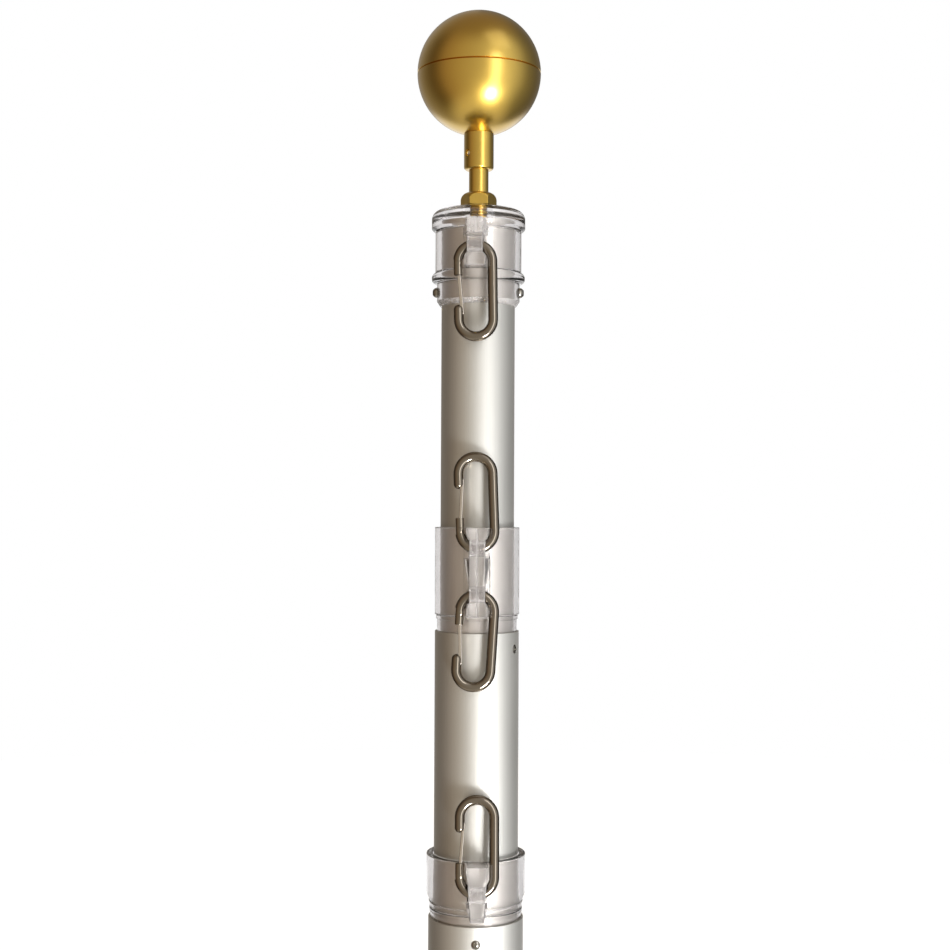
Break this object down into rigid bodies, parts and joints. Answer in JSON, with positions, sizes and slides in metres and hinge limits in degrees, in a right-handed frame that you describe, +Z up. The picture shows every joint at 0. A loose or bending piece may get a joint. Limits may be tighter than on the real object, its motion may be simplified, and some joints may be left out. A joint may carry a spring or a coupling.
{
  "type": "telescoping flagpole",
  "caption": "Stowed telescoping flagpole: nested aluminium tubes, clear swivelling flag rings with snap clips, a clear cap and a gold ball finial.",
  "frame": {"origin": "middle of the foot of the base tube, where the pole meets the ground", "axes": "+Z up the pole, -Y towards the side that the clips hang on, +X to the right seen from that side"},
  "size_m": [0.075, 0.0792, 1.89],
  "materials": {
    "anodised_tube": "satin clear-anodised",
    "gold_anodised": "satin gold-anodised",
    "clear_polycarbonate": "clear moulded polycarbonate",
    "polished_stainless": "polished stainless steel",
    "stainless_screw": "plain stainless steel",
    "white_nylon": "moulded nylon",
    "black_plastic": "moulded polyethylene"
  },
  "bodies": {
    "base": {"base_tube": "anodised_tube", "base_plug": "black_plastic", "base_bushing": "clear_polycarbonate", "base_screws": "stainless_screw"},
    "lower_section": {"lower_tube": "anodised_tube", "lower_guide": "white_nylon", "lower_bushing": "clear_polycarbonate", "lower_screws": "stainless_screw"},
    "upper_section": {"upper_tube": "anodised_tube", "upper_guide": "white_nylon", "upper_bushing": "clear_polycarbonate", "upper_screws": "stainless_screw"},
    "top_section": {"top_tube": "anodised_tube", "top_guide": "white_nylon", "top_collar": "clear_polycarbonate", "collar_screws": "stainless_screw", "top_cap": "clear_polycarbonate", "finial_spindle": "gold_anodised", "finial_collar": "gold_anodised", "finial_set_screw": "stainless_screw", "finial_ball_lower": "gold_anodised", "finial_ball_upper": "gold_anodised"},
    "lower_swivel": {"lower_ring": "clear_polycarbonate"},
    "middle_swivel": {"middle_ring": "clear_polycarbonate"},
    "top_swivel": {"top_ring": "clear_polycarbonate"},
    "clip_1": {"clip_1_hook": "polished_stainless", "clip_1_rivet": "polished_stainless"},
    "gate_1": {"clip_1_gate": "polished_stainless"},
    "clip_2": {"clip_2_hook": "polished_stainless", "clip_2_rivet": "polished_stainless"},
    "gate_2": {"clip_2_gate": "polished_stainless"},
    "clip_3": {"clip_3_hook": "polished_stainless", "clip_3_rivet": "polished_stainless"},
    "gate_3": {"clip_3_gate": "polished_stainless"},
    "clip_4": {"clip_4_hook": "polished_stainless", "clip_4_rivet": "polished_stainless"},
    "gate_4": {"clip_4_gate": "polished_stainless"}
  },
  "joints": [
    {"name": "lower_slide", "type": "slide", "parent": "base", "child": "lower_section", "axis": [0, 0, 1], "range_m": [0, 1.038]},
    {"name": "upper_slide", "type": "slide", "parent": "lower_section", "child": "upper_section", "axis": [0, 0, 1], "range_m": [0, 1.18]},
    {"name": "top_slide", "type": "slide", "parent": "upper_section", "child": "top_section", "axis": [0, 0, 1], "range_m": [0, 1.352]},
    {"name": "lower_ring_spin", "type": "hinge", "parent": "lower_section", "child": "lower_swivel", "pos_m": [0, 0, 1.3492], "axis": [0, 0, 1], "continuous": true},
    {"name": "middle_ring_spin", "type": "hinge", "parent": "upper_section", "child": "middle_swivel", "pos_m": [0, 0, 1.5247], "axis": [0, 0, 1], "continuous": true},
    {"name": "top_ring_spin", "type": "hinge", "parent": "top_section", "child": "top_swivel", "pos_m": [0, 0, 1.7308], "axis": [0, 0, 1], "continuous": true},
    {"name": "clip_1_swing", "type": "hinge", "parent": "top_swivel", "child": "clip_1", "pos_m": [-0.00192, -0.03137, 1.7437], "axis": [-0.9981, 0.061, 0], "range_deg": [0, 150]},
    {"name": "clip_2_swing", "type": "hinge", "parent": "middle_swivel", "child": "clip_2", "pos_m": [0, -0.03103, 1.5651], "axis": [1, 0, 0], "range_deg": [0, 150]},
    {"name": "clip_3_swing", "type": "hinge", "parent": "middle_swivel", "child": "clip_3", "pos_m": [0, -0.03103, 1.5382], "axis": [1, 0, 0], "range_deg": [-150, 0]},
    {"name": "clip_4_swing", "type": "hinge", "parent": "lower_swivel", "child": "clip_4", "pos_m": [0.00061, -0.03519, 1.3642], "axis": [0.9998, 0.0175, 0], "range_deg": [0, 150]},
    {"name": "gate_1_swing", "type": "hinge", "parent": "clip_1", "child": "gate_1", "pos_m": [-0.01198, -0.03075, 1.73242], "axis": [-0.061, -0.9981, 0], "range_deg": [0, 20], "stiffness_Nm_per_rad": 0.1, "springref_deg": -17.19},
    {"name": "gate_2_swing", "type": "hinge", "parent": "clip_2", "child": "gate_2", "pos_m": [-0.01013, -0.03, 1.5758], "axis": [0, 0.9954, -0.0958], "range_deg": [0, 20], "stiffness_Nm_per_rad": 0.1, "springref_deg": -17.19},
    {"name": "gate_3_swing", "type": "hinge", "parent": "clip_3", "child": "gate_3", "pos_m": [-0.01014, -0.03103, 1.5277], "axis": [0, -1, 0], "range_deg": [0, 20], "stiffness_Nm_per_rad": 0.1, "springref_deg": -17.19},
    {"name": "gate_4_swing", "type": "hinge", "parent": "clip_4", "child": "gate_4", "pos_m": [-0.0095, -0.03431, 1.37525], "axis": [-0.0174, 0.9952, -0.0958], "range_deg": [0, 20], "stiffness_Nm_per_rad": 0.1, "springref_deg": -17.19}
  ]
}
